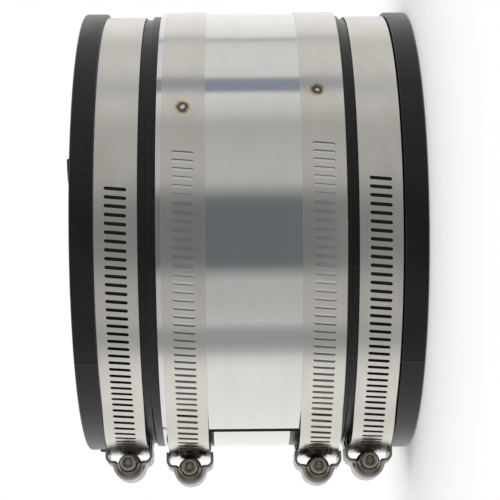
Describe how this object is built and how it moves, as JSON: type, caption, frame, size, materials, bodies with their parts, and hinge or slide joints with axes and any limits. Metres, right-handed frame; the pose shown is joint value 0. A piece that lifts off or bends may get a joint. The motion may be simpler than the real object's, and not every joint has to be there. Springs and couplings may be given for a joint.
{
  "type": "shielded flexible pipe coupling",
  "caption": "Rubber sleeve that joins two plain pipe ends, wrapped by a thin stainless shear ring and clamped by slotted worm-drive straps.",
  "frame": {"origin": "centre of the bore at the middle of the sleeve's length", "axes": "+Z along the bore; the worm housings stand off the +X side, 17 degrees towards +Y"},
  "size_m": [0.1946, 0.1816, 0.13],
  "materials": {
    "rubber": "matt moulded black rubber",
    "shear_ring_sheet": "bright rolled stainless sheet, nearly mirror-like",
    "strap_steel": "satin stainless strap",
    "housing_steel": "pressed stainless, softly polished",
    "screw_plated": "dull olive plating"
  },
  "bodies": {
    "root": {"sleeve": "rubber", "upper_outer_band_end": "strap_steel", "upper_outer_saddle": "housing_steel", "upper_outer_housing": "housing_steel", "upper_inner_band_end": "strap_steel", "upper_inner_saddle": "housing_steel", "upper_inner_housing": "housing_steel", "lower_inner_band_end": "strap_steel", "lower_inner_saddle": "housing_steel", "lower_inner_housing": "housing_steel", "lower_outer_band_end": "strap_steel", "lower_outer_saddle": "housing_steel", "lower_outer_housing": "housing_steel"},
    "upper_outer_loop": {"upper_outer_strap": "strap_steel"},
    "shear_ring_loop": {"shear_ring": "shear_ring_sheet", "upper_inner_strap": "strap_steel", "lower_inner_strap": "strap_steel"},
    "lower_outer_loop": {"lower_outer_strap": "strap_steel"},
    "upper_outer_screw": {"upper_outer_screw": "screw_plated"},
    "upper_inner_screw": {"upper_inner_screw": "screw_plated"},
    "lower_inner_screw": {"lower_inner_screw": "screw_plated"},
    "lower_outer_screw": {"lower_outer_screw": "screw_plated"}
  },
  "joints": [
    {"name": "upper_outer_feed", "type": "hinge", "parent": "root", "child": "upper_outer_loop", "pos_m": [0, 0, 0], "axis": [0, 0, -1], "range_deg": [0, 9]},
    {"name": "shear_ring_feed", "type": "hinge", "parent": "root", "child": "shear_ring_loop", "pos_m": [0, 0, 0], "axis": [0, 0, -1], "range_deg": [0, 9]},
    {"name": "lower_outer_feed", "type": "hinge", "parent": "root", "child": "lower_outer_loop", "pos_m": [0, 0, 0], "axis": [0, 0, -1], "range_deg": [0, 9]},
    {"name": "upper_outer_turn", "type": "hinge", "parent": "root", "child": "upper_outer_screw", "pos_m": [0.09295, 0.02842, 0.0483], "axis": [-0.2924, 0.9563, 0], "range_deg": [0, 1720]},
    {"name": "upper_inner_turn", "type": "hinge", "parent": "root", "child": "upper_inner_screw", "pos_m": [0.09482, 0.02899, 0.0239], "axis": [-0.2924, 0.9563, 0], "range_deg": [0, 1720]},
    {"name": "lower_inner_turn", "type": "hinge", "parent": "root", "child": "lower_inner_screw", "pos_m": [0.09482, 0.02899, -0.0274], "axis": [-0.2924, 0.9563, 0], "range_deg": [0, 1720]},
    {"name": "lower_outer_turn", "type": "hinge", "parent": "root", "child": "lower_outer_screw", "pos_m": [0.09295, 0.02842, -0.0478], "axis": [-0.2924, 0.9563, 0], "range_deg": [0, 1720]}
  ],
  "couplings": [
    {"joint": "upper_outer_turn", "follows": "upper_outer_feed", "ratio": 183.45},
    {"joint": "upper_inner_turn", "follows": "shear_ring_feed", "ratio": 187.31},
    {"joint": "lower_inner_turn", "follows": "shear_ring_feed", "ratio": 187.31},
    {"joint": "lower_outer_turn", "follows": "lower_outer_feed", "ratio": 183.45}
  ]
}
